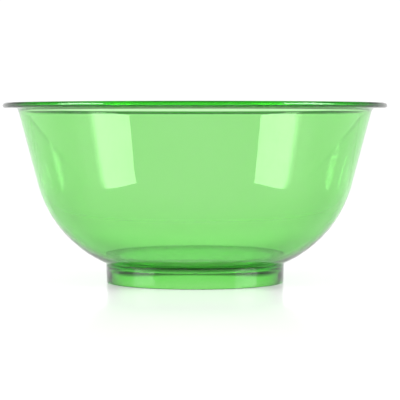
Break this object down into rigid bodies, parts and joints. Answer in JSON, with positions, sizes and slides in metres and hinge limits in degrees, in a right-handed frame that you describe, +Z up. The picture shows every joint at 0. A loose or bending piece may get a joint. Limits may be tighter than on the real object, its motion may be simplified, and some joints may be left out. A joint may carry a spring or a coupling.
{
  "type": "mixing bowl",
  "caption": "Clear green plastic mixing bowl with a flared side wall, a rounded belly, a flat flange round the mouth and a low foot ring.",
  "frame": {"origin": "centre of the foot ring's base, on the surface that the bowl stands on", "axes": "+Z up along the bowl's turning axis, out of the mouth; X and Y are level and equal"},
  "size_m": [0.28, 0.28, 0.131],
  "materials": {
    "clear_green_plastic": "polished, transparent, tinted green"
  },
  "bodies": {
    "root": {"rim_flange": "clear_green_plastic", "side_wall": "clear_green_plastic", "belly": "clear_green_plastic", "heel": "clear_green_plastic", "bowl_floor": "clear_green_plastic", "foot_ring": "clear_green_plastic"}
  },
  "joints": []
}
